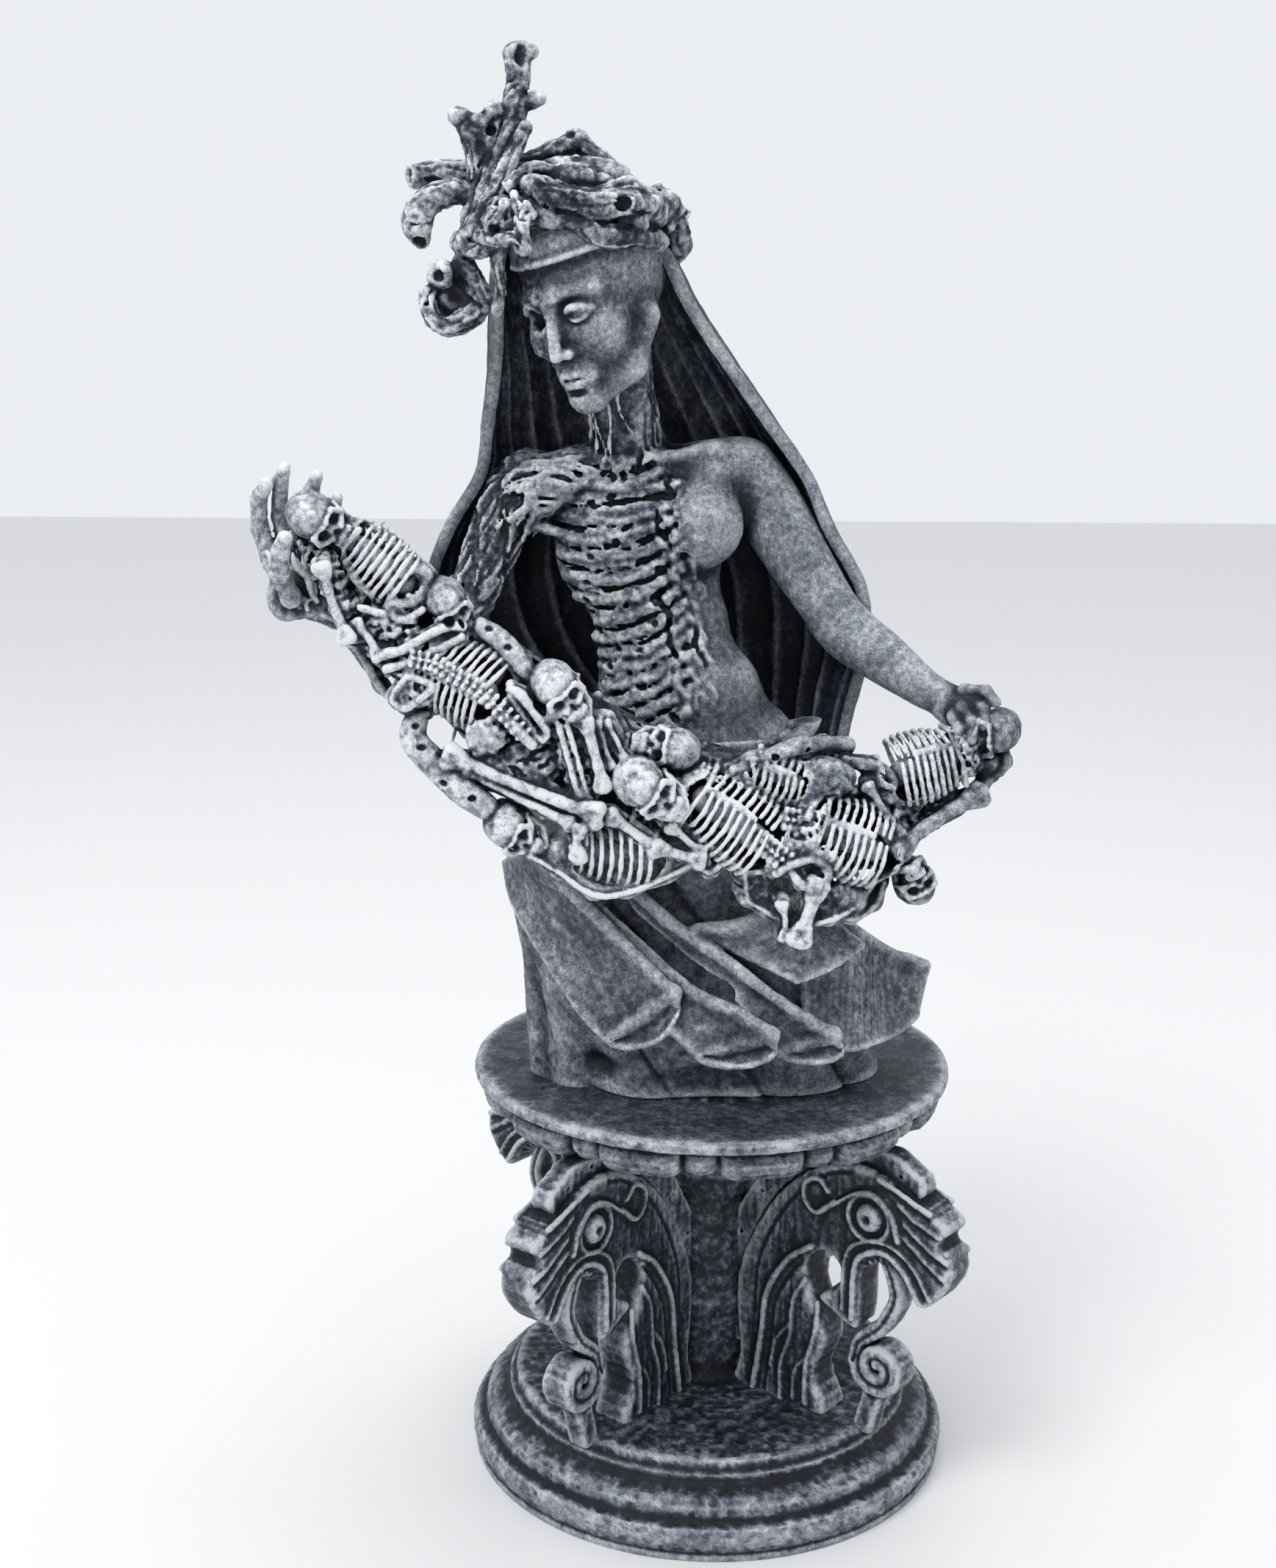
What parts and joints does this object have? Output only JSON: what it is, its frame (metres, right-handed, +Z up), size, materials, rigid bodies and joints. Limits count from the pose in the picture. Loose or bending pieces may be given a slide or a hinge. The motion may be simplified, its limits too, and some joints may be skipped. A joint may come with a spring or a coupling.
{
  "type": "statuette",
  "caption": "Cast resin statuette of a half-decayed goddess in a hooded cloak and bone crown, holding a garland of skeletons, on a round plinth.",
  "frame": {"origin": "middle of the plinth's flat underside, the face that it rests on", "axes": "+Z up, -Y towards the front that the figure's body faces, +X to the viewer's right"},
  "size_m": [0.2124, 0.1496, 0.4211],
  "materials": {
    "figure_resin": "matt painted resin, dark blue-grey with pale dry-brushed edges",
    "plinth_resin": "matt painted resin, mottled dark blue-grey with pale dry-brushed edges"
  },
  "bodies": {
    "root": {"figure": "figure_resin", "plinth": "plinth_resin"}
  },
  "joints": []
}
